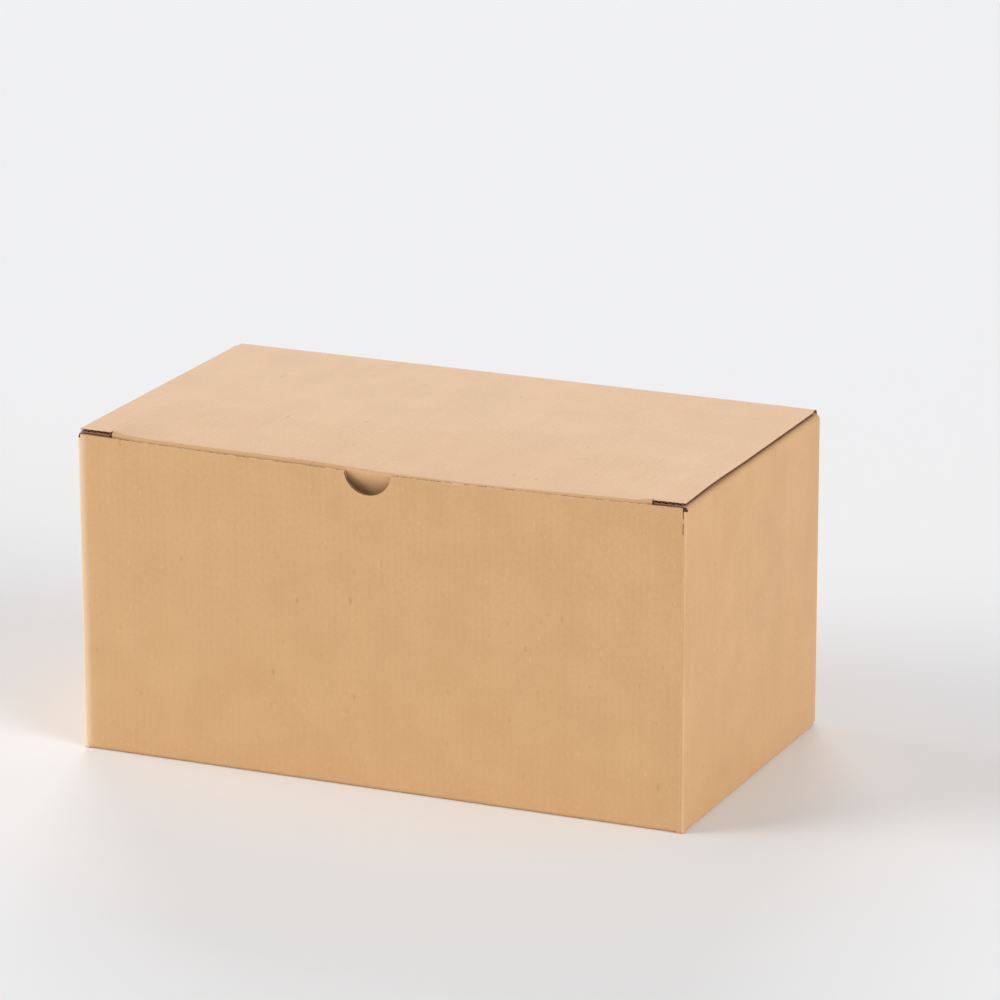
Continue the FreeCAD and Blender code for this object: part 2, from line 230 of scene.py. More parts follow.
# Where each panel lies on the flat blank: u runs right along the outside, v runs up
FRONT_LEFT = -RIGHT + FOLD
FRONT_RIGHT = SEAM - FOLD
SIDE_RUN = 2 * (BACK - FOLD)
LEFT_START = FRONT_LEFT - BEND_RUN
LEFT_END = LEFT_START - SIDE_RUN
BACK_START = LEFT_END - BEND_RUN
BACK_END = BACK_START - 2 * (RIGHT - FOLD)
RIGHT_START = BACK_END - BEND_RUN
FOOT = FOLD
FLAP_ROOT = FOLD - BEND_RUN
DUST_ROOT = WALL_TOP + BEND_RUN
LID_ROOT = HINGE_LEVEL + BEND_RUN
SEAM_END = FRONT_RIGHT + BEND * math.asin(1 - SEAM_GAP / FOLD)
ROLL_START = LID_ROOT + (BACK - FOLD) + (TUCK_FACE - LID_ROLL)
TAB_END = LID_ROOT + (BACK - FOLD) + TUCK_FACE
ROLL_BEND = LID_ROLL - BOARD / 2
ROLL_RUN = ROLL_BEND * (math.pi / 2 + TUCK_LEAN)
SLIT_END = LID_RIGHT - SLIT_LENGTH

LINER_MATERIAL, INSIDE_MATERIAL, FLUTE_MATERIAL, RAW_MATERIAL, PRESSED_EDGE_AND_HIGHLIGHT_MATERIAL = range(5)

# Fibres in the paper: colour, turn in degrees, stretch, scale, share of the cells, strength
FIBRES = (
    ("#F3D6B0", 20, 0.42, 480, 0.24, 0.20), ("#EFD0A8", 110, 0.38, 330, 0.20, 0.20),
    ("#A87C50", 65, 0.45, 300, 0.12, 0.24), ("#94683F", 150, 0.45, 210, 0.05, 0.34),
)
# Colour of the painted highlight along the left front fold
FOLD_HIGHLIGHT_COLOUR = "#F4DEC0"
RELIEF_DEPTH = 0.1 * MM

# Lamps: name, place, angle in degrees, strength, colour
LAMPS = (
    ("left", (-0.80, -0.48, 0.38), 35, 1.6, "#FFFCF8"),
    ("right", (0.85, -0.25, 0.36), 40, 1.6, "#FFFFFF"),
    ("back", (-0.40, 0.85, 0.36), 30, 1.15, "#FBFBFF"),
    ("rim", (-0.95, 0.05, 0.22), 25, 0.8, "#FFFFFF"),
)
SKY_COLOUR = "#F4F6FA"
SKY_STRENGTH = 0.42
FLOOR_COLOUR = "#F2F2F2"
FLOOR_SIZE = 8

# The photograph's camera, fitted to the box's straight edges
CAMERA_AZIMUTH = math.radians(23.58)
CAMERA_ELEVATION = math.radians(16.56)
CAMERA_TARGET = Vector((0.0241, 0, 0.118))
CAMERA_DISTANCE = 2.765
CAMERA_LENS = 215.8
CAMERA_SENSOR = 36
CAMERA_FAR = 50


def left_u(y):
    """Where a place of the left side panel lies on the blank."""
    return LEFT_START - (y + BACK - FOLD)


def back_u(x):
    """Where a place of the back panel lies on the blank."""
    return BACK_START - (x + RIGHT - FOLD)


def right_u(y):
    """Where a place of the right side panel lies on the blank."""
    return RIGHT_START - (BACK - FOLD - y)


def rectangle(left, right, low, high):
    left, right = min(left, right), max(left, right)
    return [(left, low), (right, low), (right, high), (left, high)]


def arc(centre, radius, start, stop, steps):
    """Points of a round stretch of an outline, angles in degrees."""
    points = []
    for step in range(steps + 1):
        angle = math.radians(start + (stop - start) * step / steps)
        place = centre[0] + radius * math.cos(angle), centre[1] + radius * math.sin(angle)
        points.append(place)
    return points


def spread(start, stop, size):
    """Cut lines from start to stop, no further apart than size."""
    count = max(1, math.ceil(abs(stop - start) / size - 1e-6))
    return [start + (stop - start) * step / count for step in range(count + 1)]


def worn_edge(start, stop, level):
    """A die-cut edge along u that wavers a little, from start to stop."""
    edge = []
    for place in spread(start, stop, WEAR_STEP)[1:-1]:
        wear = EDGE_WEAR * noise.noise(Vector((place / WEAR_LENGTH, WEAR_PLACE, level / MM)))
        edge.append((place, level + wear))
    return edge


def flat_blank(outlines, cuts):
    """The die-cut outline as flat faces, cut across along u and v."""
    bm = bmesh.new()
    for outline in outlines:
        bm.faces.new([bm.verts.new((u, 0, v)) for u, v in outline])
    bmesh.ops.remove_doubles(bm, verts=bm.verts, dist=1e-6)
    for axis, places in ((0, cuts[0]), (2, cuts[1])):
        normal = [0, 0, 0]
        normal[axis] = 1
        for place in sorted(set(round(place, 7) for place in places)):
            point = [0, 0, 0]
            point[axis] = place
            geometry = bm.verts[:] + bm.edges[:] + bm.faces[:]
            bmesh.ops.bisect_plane(bm, geom=geometry, dist=1e-7, plane_co=point, plane_no=normal)
    bmesh.ops.remove_doubles(bm, verts=bm.verts, dist=1e-6)
    return bm


def add_layer(sheet, outlines, cuts, level, thickness, outward, material, inner=None, edge=None):
    """One paper of the board. level gives its middle, above the board's middle, along u."""
    bm = flat_blank(outlines, cuts)
    flat = bm.verts.layers.float_vector.new("flat")
    for vert in bm.verts:
        vert[flat] = vert.co
        vert.co += outward * (level(vert.co.x) + thickness / 2)
    faces = bm.faces[:]
    for face in faces:
        face.normal_update()
        if face.normal.dot(outward) < 0:
            face.normal_flip()
        face.material_index = material
    grown = bmesh.ops.extrude_face_region(bm, geom=faces, use_keep_orig=True)["geom"]
    lower_verts = [item for item in grown if isinstance(item, bmesh.types.BMVert)]
    lower_faces = {item for item in grown if isinstance(item, bmesh.types.BMFace)}
    bmesh.ops.translate(bm, verts=lower_verts, vec=-outward * thickness)
    walls = set(bm.faces) - set(faces) - lower_faces
    for face in lower_faces:
        face.material_index = material if inner is None else inner
    for face in walls:
        face.material_index = material if edge is None else edge
    bmesh.ops.recalc_face_normals(bm, faces=bm.faces[:])
    paper = bpy.data.meshes.new("paper")
    bm.to_mesh(paper)
    bm.free()
    sheet.from_mesh(paper)
    bpy.data.meshes.remove(paper)


def flute_level(u):
    """How high the fluted paper lies over the board's middle."""
    reach = BOARD / 2 - LINER - FLUTE_INSET
    return reach * math.sin(2 * math.pi * u / FLUTE_PITCH)


def new_sheet():
    """An empty sheet whose points keep their place on the flat blank."""
    sheet = bmesh.new()
    sheet.verts.layers.float_vector.new("flat")
    return sheet


def add_board(sheet, outlines, cuts, fluted_v, outward):
    """Both liners, and the fluted middle between them, over the same outlines."""
    across = BOARD / 2 - LINER / 2
    ends = [u for outline in outlines for u, v in outline]
    first = math.floor(min(ends) / FLUTE_PITCH * FLUTE_STEPS)
    last = math.ceil(max(ends) / FLUTE_PITCH * FLUTE_STEPS)
    waves = [step * FLUTE_PITCH / FLUTE_STEPS for step in range(first, last + 1)]
    for layer_cuts, level, thickness, outer, inner in (
        (cuts, lambda u: across, LINER, LINER_MATERIAL, FLUTE_MATERIAL),
        (cuts, lambda u: -across, LINER, FLUTE_MATERIAL, INSIDE_MATERIAL),
        ((waves, fluted_v), flute_level, MEDIUM, FLUTE_MATERIAL, FLUTE_MATERIAL),
    ):
        add_layer(sheet, outlines, layer_cuts, level, thickness, outward, outer, inner, RAW_MATERIAL)


def fold(sheet, belongs, start, along, outward, radius=BEND, angle=math.pi / 2):
    """Bends what lies past a crease line inwards, round the crease's own radius."""
    flat = sheet.verts.layers.float_vector["flat"]
    start, along, outward = Vector(start), Vector(along), Vector(outward)
    for vert in sheet.verts:
        if not belongs(vert[flat].x, vert[flat].z):
            continue
        flat_run = (vert[flat] - start).dot(along)
        if flat_run <= 0:
            continue
        offset = vert.co - start
        run, rise = offset.dot(along), offset.dot(outward)
        aside = offset - along * run - outward * rise
        turn = min(flat_run / radius, angle)
        past = run - radius * turn if turn == angle else 0
        new_run = (radius + rise) * math.sin(turn) + past * math.cos(turn)
        new_rise = (radius + rise) * math.cos(turn) - radius - past * math.sin(turn)
        vert.co = start + aside + along * new_run + outward * new_rise


def ramp(run, start, length):
    """0 before a ramp, 1 after it, and a smooth rise between."""
    share = min(max((run - start) / length, 0), 1)
    return share * share * (3 - 2 * share)


def finish_piece(sheet, name, slot, body, materials, *replaced):
    """The folded sheet as an object, mapped by its place on the blank."""
    flat = sheet.verts.layers.float_vector["flat"]
    blank = sheet.loops.layers.uv.new("blank")
    for face in sheet.faces:
        face.smooth = True
        for loop in face.loops:
            loop[blank].uv = loop.vert[flat].x, loop.vert[flat].z
    sheet.normal_update()
    for edge in sheet.edges:
        edge.smooth = edge.is_manifold and edge.calc_face_angle(0) < SMOOTH_ANGLE
    mesh = bpy.data.meshes.new(name)
    sheet.to_mesh(mesh)
    for material in materials:
        mesh.materials.append(material)
    piece = bpy.data.objects.new(name, mesh)
    bpy.context.scene.collection.objects.link(piece)
    if body:
        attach(piece, body)
    if replaced:
        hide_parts(*replaced)
    return piece


def front_outline():
    """The front panel, with the thumb notch in its top edge."""
    start = math.degrees(math.asin(NOTCH_RISE / NOTCH_RADIUS))
    notch = arc((NOTCH_X, FRONT_TOP + NOTCH_RISE), NOTCH_RADIUS, -start, start - 180, NOTCH_STEPS)
    corners = [(FRONT_LEFT, FOOT), (FRONT_RIGHT, FOOT), (FRONT_RIGHT, FRONT_TOP)]
    right_edge = worn_edge(FRONT_RIGHT, NOTCH_X + NOTCH_RADIUS, FRONT_TOP)
    left_edge = worn_edge(NOTCH_X - NOTCH_RADIUS, FRONT_LEFT, FRONT_TOP)
    return corners + right_edge + notch + left_edge + [(FRONT_LEFT, FRONT_TOP)]


def wall_outlines():
    """The four walls and the upright folds between them, as far as the raw edge."""
    return [
        front_outline(),
        rectangle(LEFT_START, FRONT_LEFT, FOOT, WALL_TOP),
        rectangle(LEFT_END, LEFT_START, FOOT, WALL_TOP),
        rectangle(BACK_START, LEFT_END, FOOT, WALL_TOP),
        rectangle(BACK_END, BACK_START, FOOT, HINGE_SEAM),
        rectangle(RIGHT_START, BACK_END, FOOT, WALL_TOP),
        rectangle(right_u(-RAW_EDGE), RIGHT_START, FOOT, WALL_TOP),
    ]


def glue_flap_outlines():
    """The right front fold, the glue flap past it, and a fibre that bridges the seam."""
    start = FRONT_RIGHT + BEND_RUN
    end = start + GLUE_WIDTH - FOLD
    low, high = FOOT + GLUE_DROP, WALL_TOP - GLUE_DROP
    flap = [(start, low), (end, low + GLUE_TAPER), (end, high - GLUE_TAPER), (start, high)]
    free_end = rectangle(FRONT_RIGHT, SEAM_END, high, FRONT_TOP)
    fibre_low = high + FIBRE_RISE
    fibre = rectangle(SEAM_END, start - FIBRE_GAP, fibre_low, fibre_low + FIBRE_HEIGHT)
    return [rectangle(FRONT_RIGHT, start, FOOT, high), flap, free_end, fibre]


def corner_outlines():
    """The feet of the front folds, crushed down beside the base creases."""
    low = FOOT - CORNER_DROP
    return [
        rectangle(FRONT_RIGHT + CORNER_CUT, FRONT_RIGHT + BEND_RUN, low, FOOT),
        rectangle(right_u(-RAW_EDGE), right_u(CORNER_SIDE - BACK), low, FOOT),
        rectangle(LEFT_START - CORNER_LEFT, FRONT_LEFT + CORNER_FRONT, low, FOOT),
    ]


def at_corner(u):
    """Whether u is in the foot of a front fold."""
    at_left = LEFT_START - CORNER_LEFT - NEAR < u < FRONT_LEFT + CORNER_FRONT + NEAR
    at_seam = u > FRONT_RIGHT + CORNER_CUT / 2 or u < right_u(CORNER_SIDE + NEAR - BACK)
    return at_left or at_seam


def dust_flap_outlines(panel_u):
    """The crease and the flap at the top of a side panel."""
    edge = BACK - FOLD
    inner = BACK - DUST_SETBACK
    tip = DUST_ROOT + DUST_LENGTH
    step = DUST_ROOT + SHOULDER - FOLD
    across = [
        (edge, DUST_ROOT), (edge, step), (inner, step), (inner, tip - DUST_CORNER),
        (inner - DUST_CORNER, tip),
    ]
    half = [(panel_u(y), v) for y, v in across]
    other = [(panel_u(-y), v) for y, v in reversed(across)]
    return [rectangle(panel_u(edge), panel_u(-edge), WALL_TOP, DUST_ROOT), half + other]


def side_base_outlines(panel_u):
    """The crease and the base flap at the foot of a side panel."""
    edge = BACK - SIDE_RELIEF
    root = BACK - DUST_SETBACK
    top = FLAP_ROOT - RAMP_START - SIDE_RAMP
    end = FLAP_ROOT - SIDE_FLAP
    flap = [
        (panel_u(-edge), FLAP_ROOT), (panel_u(-edge), top), (panel_u(-root), top),
        (panel_u(-root + SIDE_SLANT), end), (panel_u(BACK - SIDE_BACK), end),
        (panel_u(BACK - SIDE_BACK), top), (panel_u(edge), top), (panel_u(edge), FLAP_ROOT),
    ]
    return [rectangle(panel_u(edge), panel_u(-edge), FLAP_ROOT, FOOT), flap]


def back_base_outlines():
    """The back panel's base flap, with the recess that takes the tongue."""
    edge = RIGHT - BASE_RELIEF
    side = RIGHT - FLAP_INSET
    end = FLAP_ROOT - BACK_FLAP
    half = [
        (side, FLAP_ROOT), (side, end + BACK_CORNER), (side - BACK_CORNER, end), (RECESS_HALF, end),
        (RECESS_HALF, end + RECESS_DEPTH),
    ]
    flap = [(back_u(x), v) for x, v in half] + [(back_u(-x), v) for x, v in reversed(half)]
    return [rectangle(back_u(edge), back_u(-edge), FLAP_ROOT, FOOT), flap]


def front_base_outlines():
    """The front panel's base flap, with the tongue that locks the base."""
    edge = RIGHT - BASE_RELIEF
    side = RIGHT - FLAP_INSET
    end = FLAP_ROOT - FRONT_FLAP
    tip = end - TONGUE_RAMP - TONGUE_GRIP
    half = [
        (side, FLAP_ROOT), (side, end + FRONT_CORNER), (side - FRONT_CORNER, end), (TONGUE_HALF, end),
        (TONGUE_HALF, tip + TONGUE_CORNER), (TONGUE_HALF - TONGUE_CORNER, tip),
    ]
    flap = half + [(-x, v) for x, v in reversed(half)]
    return [rectangle(-edge, min(edge, FRONT_RIGHT), FLAP_ROOT, FOOT), flap]


def grid_u():
    """Cut lines across the blank: fine over the upright folds, wide over the panels."""
    lines = [SEAM_END]
    for start, stop in (
        (LEFT_START, FRONT_LEFT), (BACK_START, LEFT_END), (RIGHT_START, BACK_END),
        (FRONT_RIGHT, FRONT_RIGHT + BEND_RUN),
    ):
        lines += spread(start, stop, BEND_RUN / BEND_STEPS)
    lines += spread(FRONT_LEFT, FRONT_LEFT + GRID, FOLD_GRID)
    lines += spread(right_u(-RAW_EDGE), right_u(SEAM_PRESS_WIDTH - BACK), PRESS_GRID)
    for start, stop in (
        (FRONT_LEFT, FRONT_RIGHT), (LEFT_END, LEFT_START), (BACK_END, BACK_START),
        (right_u(-RAW_EDGE), RIGHT_START),
    ):
        lines += spread(start, stop, GRID)
    return lines


def grid_v(size, bend_steps):
    """Cut lines up the blank: over the creases, the panels, and where the base flaps rise."""
    bend = BEND_RUN / bend_steps
    lines = spread(FLAP_ROOT, FOOT, bend) + spread(WALL_TOP, DUST_ROOT, bend)
    lines += spread(FOOT, WALL_TOP, size)
    lines += [HINGE_SEAM, FRONT_TOP - RUB_DEPTH, FOOT + GLUE_DROP, WALL_TOP - GLUE_DROP]
    first = FLAP_ROOT - RAMP_START
    lines += spread(first - SIDE_RAMP, first, SIDE_RAMP / bend_steps)
    lines += spread(first - BACK_RAMP, first, BACK_RAMP / bend_steps)
    end = FLAP_ROOT - FRONT_FLAP
    return lines + spread(end - TONGUE_RAMP, end, TONGUE_RAMP / bend_steps)


def raise_base_flaps(sheet):
    """The base flaps ride up over each other, and the tongue through the recess."""
    flat = sheet.verts.layers.float_vector["flat"]
    for vert in sheet.verts:
        u, v = vert[flat].x, vert[flat].z
        run = FLAP_ROOT - v
        if run < 0:
            continue
        if u > FRONT_LEFT:
            lift = 3 * LAYER * ramp(run, FRONT_FLAP, TONGUE_RAMP)
        elif BACK_END < u < BACK_START:
            lift = 2 * LAYER * ramp(run, RAMP_START, BACK_RAMP)
        else:
            lift = LAYER * ramp(run, RAMP_START, SIDE_RAMP)
        vert.co.z += lift


def whiten_front_edge(sheet):
    """The front panel's top edge, rubbed pale by the lid, partly a painted highlight."""
    flat = sheet.verts.layers.float_vector["flat"]
    for face in sheet.faces:
        if face.material_index != RAW_MATERIAL:
            continue
        places = [vert[flat] for vert in face.verts]
        on_front = all(FRONT_LEFT <= place.x <= FRONT_RIGHT for place in places)
        if on_front and all(place.z > FRONT_TOP - RUB_DEPTH + NEAR for place in places):
            face.material_index = PRESSED_EDGE_AND_HIGHLIGHT_MATERIAL


def splay(vert):
    """The carton's front stands a little wider than its back, most of all at the top."""
    front = min(max((BACK - vert.co.y) / (2 * BACK), 0), 1)
    height = min(max(vert.co.z / TOP, 0), 1)
    wider = RIGHT_SPLAY if vert.co.x > 0 else LEFT_SPLAY
    vert.co.x += wider * vert.co.x / RIGHT * front * (FOOT_SPLAY + (1 - FOOT_SPLAY) * height)


def bulge_share(x):
    """How much of the front panel's bulge there is at x: all in the middle, none at the folds."""
    across = min(max((x + RIGHT) / (2 * RIGHT), 0), 1)
    return math.sin(math.pi * across)


def near_middle(x, middle, width):
    """1 at middle, and less away from it."""
    return math.exp(-((x - middle) / width) ** 2)


def between_tabs(x):
    """1 over the lid's rolled front, 0 at the flat corners beside it."""
    return ramp(SLIT_END - abs(x), TAB_BLEND_START, TAB_BLEND)


def lid_sag(x, front):
    """How far the lid, and the dust flaps under it, are pressed down towards the front."""
    share = LID_SAG_LEAST + (1 - LID_SAG_LEAST) * near_middle(x, LID_SAG_X, LID_SAG_WIDTH)
    return LID_SAG * share * between_tabs(x) * ramp(front, LID_SAG_START, LID_SAG_RUN)


def handle(sheet):
    """The walls as handling left them: front bulged, upright folds pressed in, front splayed."""
    flat = sheet.verts.layers.float_vector["flat"]
    for vert in sheet.verts:
        u, v = vert[flat].x, vert[flat].z
        if v < FOOT and not at_corner(u):
            splay(vert)
            continue
        x, past = vert.co.x, vert.co.y + BACK
        if v > WALL_TOP and u < FRONT_LEFT:
            vert.co.z -= lid_sag(x, -vert.co.y)
        if FRONT_LEFT < u < FRONT_RIGHT:
            height = max(v - FOOT, 0) / (FRONT_TOP - FOOT)
            vert.co.y -= BULGE * bulge_share(x) * height ** BULGE_GROWTH
            vert.co.z -= BULGE_DROP * bulge_share(x) * height ** BULGE_DROP_GROWTH
        if u > FRONT_RIGHT:
            at_seam = ramp(x, SEAM - SEAM_FILL_WIDTH, SEAM_FILL_WIDTH)
            vert.co.y -= SEAM_FILL * at_seam * ramp(-past, -SEAM_FILL_DEPTH, SEAM_FILL_FADE)
        if x > SEAM - FOLD and past < SEAM_PRESS_WIDTH:
            inwards = (1 - past / SEAM_PRESS_WIDTH) ** 2
            vert.co.x -= SEAM_PRESS * inwards * ramp(x, SEAM - FOLD, FOLD / 2)
        if x < LEFT_PRESS_WIDTH - RIGHT and past < 2 * FOLD:
            inwards = (1 - (x + RIGHT) / LEFT_PRESS_WIDTH) ** 2
            vert.co.y += LEFT_PRESS * inwards * ramp(-past, -2 * FOLD, FOLD)
        splay(vert)


def build_carton(materials):
    """Walls, glue flap, dust flaps and base flaps, folded from one sheet."""
    outward = Vector((0, -1, 0))
    outlines = wall_outlines() + glue_flap_outlines() + corner_outlines()
    outlines += front_base_outlines() + back_base_outlines()
    for panel_u in (left_u, right_u):
        outlines += dust_flap_outlines(panel_u) + side_base_outlines(panel_u)
    cut_u, cut_v = grid_u(), grid_v(GRID, BEND_STEPS)
    sheet = new_sheet()
    add_board(sheet, outlines, (cut_u, cut_v), grid_v(FLUTED_GRID, FLUTED_BEND_STEPS), outward)
    whiten_front_edge(sheet)
    # Pale pressed board beside the seam and along the front panel's top edge, partly a painted
    # highlight
    raw_u = right_u(-RAW_EDGE)
    low, high = FRONT_TOP - CRUSH_DEPTH, FRONT_TOP - CRUSH_INSET
    strip = [rectangle(raw_u - STRIP_OVERLAP, raw_u + STRIP_WIDTH, FOOT - CORNER_DROP, WALL_TOP)]
    crushed = [
        rectangle(FRONT_LEFT, NOTCH_X - NOTCH_RADIUS, low, high),
        rectangle(NOTCH_X + NOTCH_RADIUS, FRONT_RIGHT, low, high),
    ]
    for pale, cuts, thickness in (
        (strip, ([], cut_v), STRIP_THICKNESS), (crushed, (cut_u, []), CRUSH_THICKNESS),
    ):
        add_layer(sheet, pale, cuts, lambda u: 0, thickness, outward, PRESSED_EDGE_AND_HIGHLIGHT_MATERIAL)
    up, down, left = (0, 0, 1), (0, 0, -1), (-1, 0, 0)
    fold(sheet, lambda u, v: u < FRONT_LEFT and v > WALL_TOP, (0, 0, WALL_TOP), up, outward)
    fold(sheet, lambda u, v: v < FOOT and not at_corner(u), (0, 0, FOOT), down, outward)
    raise_base_flaps(sheet)
    fold(sheet, lambda u, v: u < BACK_END, (BACK_END, 0, 0), left, outward)
    fold(sheet, lambda u, v: u < LEFT_END, (LEFT_END, 0, 0), left, outward)
    fold(sheet, lambda u, v: u < FRONT_LEFT, (FRONT_LEFT, 0, 0), left, outward)
    fold(sheet, lambda u, v: u > FRONT_RIGHT, (FRONT_RIGHT, 0, 0), (1, 0, 0), outward)
    bmesh.ops.translate(sheet, verts=sheet.verts, vec=(0, -BACK + BOARD / 2, 0))
    handle(sheet)
    finish_piece(sheet, "carton_sheet", "kraft_walls", "carton", materials, "box_body")


def lid_outlines():
    """The lid panel, its two flat corners, its rolled front crease and the tuck flap."""
    tab_start = SLIT_END + SLIT_WIDTH
    roll_end = ROLL_START + ROLL_RUN
    tip = roll_end + TUCK_LENGTH
    right_corner = arc((SLIT_END - TUCK_CORNER, tip - TUCK_CORNER), TUCK_CORNER, 0, 90, CORNER_STEPS)
    left_corner = [(-x, v) for x, v in reversed(right_corner)]
    return [
        rectangle(-LID_RIGHT, LID_RIGHT, LID_ROOT, ROLL_START),
        rectangle(tab_start, LID_RIGHT, ROLL_START, TAB_END),
        rectangle(-LID_RIGHT, -tab_start, ROLL_START, TAB_END),
        rectangle(-SLIT_END, SLIT_END, ROLL_START, roll_end),
        [(-SLIT_END, roll_end), (SLIT_END, roll_end)] + right_corner + left_corner,
    ]


def press_lid(sheet):
    """The lid as handling left it: sagged and splayed, its front crease and tuck flap pushed."""
    for vert in sheet.verts:
        x, front = vert.co.x, -vert.co.y
        between = between_tabs(x) * ramp(front, FOLLOW_START, FOLLOW_RUN)
        lean = FOLLOW_TIP + (1 - FOLLOW_TIP) * ramp(vert.co.z, FRONT_TOP - FOLLOW_HEIGHT, FOLLOW_HEIGHT)
        closeness = FOLLOW_LEFT + FOLLOW_RIGHT * ramp(x, FOLLOW_X, FOLLOW_WIDTH)
        vert.co.y -= closeness * BULGE * bulge_share(x) * between * lean
        dent = near_middle(x, THUMB_DENT_X, THUMB_DENT_WIDTH)
        dent *= ramp(front, THUMB_DENT_START, THUMB_DENT_RUN)
        vert.co.y += THUMB_DENT * dent * ramp(FRONT_TOP - vert.co.z, 0, THUMB_DENT_DROP)
        at_tab = ramp(x, SLIT_END - TAB_DROOP_WIDTH, TAB_DROOP_WIDTH)
        vert.co.z -= TAB_DROOP * at_tab * ramp(front, TAB_DROOP_START, TAB_DROOP_RUN)
        vert.co.z -= lid_sag(x, front)
        at_right = ramp(x, LID_LIFT_X, LID_LIFT_WIDTH)
        vert.co.z += LID_LIFT * at_right * ramp(front, LID_LIFT_START, LID_LIFT_RUN)
        splay(vert)


def lid_cuts(hinge_end):
    """Cut lines across and up the lid: fine over its creases and round the thumb's dent."""
    dent_left, dent_right = THUMB_DENT_X - THUMB_DENT_REACH, THUMB_DENT_X + THUMB_DENT_REACH
    cut_u = spread(-LID_RIGHT, LID_RIGHT, GRID) + [-SLIT_END, SLIT_END]
    cut_u += spread(dent_left, dent_right, DENT_GRID_U)
    roll_end = ROLL_START + ROLL_RUN
    cut_v = spread(HINGE_SEAM, HINGE_LEVEL, PRESS_GRID)
    cut_v += spread(HINGE_LEVEL, LID_ROOT, BEND_RUN / BEND_STEPS)
    cut_v += spread(LID_ROOT, ROLL_START, GRID)
    cut_v += spread(ROLL_START, roll_end, ROLL_RUN / ROLL_STEPS)
    cut_v += spread(LID_ROOT, hinge_end, PRESS_GRID)
    cut_v += spread(roll_end, roll_end + DENT_ROWS, DENT_GRID_V)
    return cut_u, cut_v


def in_tuck(u, v):
    """Whether a place on the lid's blank is past the front crease, between the slits."""
    return abs(u) < SLIT_END + NEAR and v > ROLL_START


def build_lid(materials):
    """Lid panel with its tuck flap, and the strip across its back crease."""
    outward, up = Vector((0, 1, 0)), (0, 0, 1)
    hinge_end = LID_ROOT + HINGE_STRIP
    cuts = lid_cuts(hinge_end)
    lid = lid_outlines()
    lid[0] = rectangle(-LID_RIGHT, LID_RIGHT, hinge_end, ROLL_START)
    strip = [rectangle(-RIGHT + FOLD, RIGHT - FOLD, HINGE_SEAM, hinge_end)]
    pieces = []
    for name, outlines, body, replaced in (
        ("lid_sheet", lid, "lid", ["lid"]), ("lid_crease", strip, None, []),
    ):
        sheet = new_sheet()
        add_board(sheet, outlines, cuts, cuts[1], outward)
        roll_angle = math.pi / 2 + TUCK_LEAN
        fold(sheet, in_tuck, (0, 0, ROLL_START), up, outward, ROLL_BEND, roll_angle)
        fold(sheet, lambda u, v: True, (0, 0, HINGE_LEVEL), up, outward)
        bmesh.ops.translate(sheet, verts=sheet.verts, vec=(0, BACK - BOARD / 2, 0))
        press_lid(sheet)
        flat = sheet.verts.layers.float_vector["flat"]
        for vert in sheet.verts:
            vert[flat] = (back_u(vert[flat].x), 0, vert[flat].z)
        pieces.append(finish_piece(sheet, name, "kraft_lid", body, materials, *replaced))
    return pieces


def add(tree, kind, inputs=None, **settings):
    """A node with its settings, and its inputs as values or as (node, output) links."""
    made = tree.nodes.new(kind)
    for name, value in settings.items():
        setattr(made, name, value)
    for name, value in (inputs or {}).items():
        if isinstance(value, tuple) and isinstance(value[0], bpy.types.Node):
            tree.links.new(value[0].outputs[value[1]], made.inputs[name])
        else:
            made.inputs[name].default_value = value
    return made


def linear(code):
    """A linear colour from an sRGB hex code."""
    colour = []
    for place in (1, 3, 5):
        part = int(code[place:place + 2], 16) / 255
        colour.append(part / 12.92 if part <= 0.04045 else ((part + 0.055) / 1.055) ** 2.4)
    return colour + [1]


def weighted_sum(tree, parts):
    """1 plus each (node, output, weight) whose value runs from 0 to 1, centred on 0."""
    total = None
    for node, output, weight in parts:
        share = add(tree, "ShaderNodeMath", {0: (node, output), 1: 0.5}, operation="SUBTRACT")
        share = add(tree, "ShaderNodeMath", {0: (share, 0), 1: weight}, operation="MULTIPLY")
        if total:
            share = add(tree, "ShaderNodeMath", {0: (share, 0), 1: (total, 0)}, operation="ADD")
        total = share
    return add(tree, "ShaderNodeMath", {0: (total, 0), 1: 1.0}, operation="ADD")


def paper_noise(tree, blank, scale, detail, rough=0.5, stretch=(1, 1, 1)):
    """Noise on the blank, drawn out along an axis whose stretch is under 1."""
    laid = add(tree, "ShaderNodeMapping", {"Vector": (blank, "UV"), "Scale": stretch})
    inputs = {"Vector": (laid, "Vector"), "Scale": scale, "Detail": detail, "Roughness": rough}
    return add(tree, "ShaderNodeTexNoise", inputs)


def laid_over(tree, under, share, colour):
    """A colour laid over another, as far as share's (node, output) says."""
    return add(tree, "ShaderNodeMix", {0: share, 6: under, 7: linear(colour)}, data_type="RGBA"), 2


def flecks(tree, blank, turn, stretch, scale, share, strength):
    """Short fibres at random places: strength on a fibre, 0 elsewhere."""
    laid = add(
        tree, "ShaderNodeMapping",
        {"Vector": (blank, "UV"), "Rotation": (0, 0, math.radians(turn)), "Scale": (1, stretch, 1)},
    )
    cells = add(tree, "ShaderNodeTexVoronoi", {"Vector": (laid, "Vector"), "Scale": scale})
    near = add(
        tree, "ShaderNodeMapRange",
        {
            "Value": (cells, "Distance"), "From Min": 0.04, "From Max": 0.22,
            "To Min": strength, "To Max": 0,
        },
    )
    mark = add(tree, "ShaderNodeSeparateColor", {"Color": (cells, "Color")})
    chosen = add(tree, "ShaderNodeMath", {0: (mark, "Red"), 1: share}, operation="LESS_THAN")
    return add(tree, "ShaderNodeMath", {0: (near, "Result"), 1: (chosen, 0)}, operation="MULTIPLY")


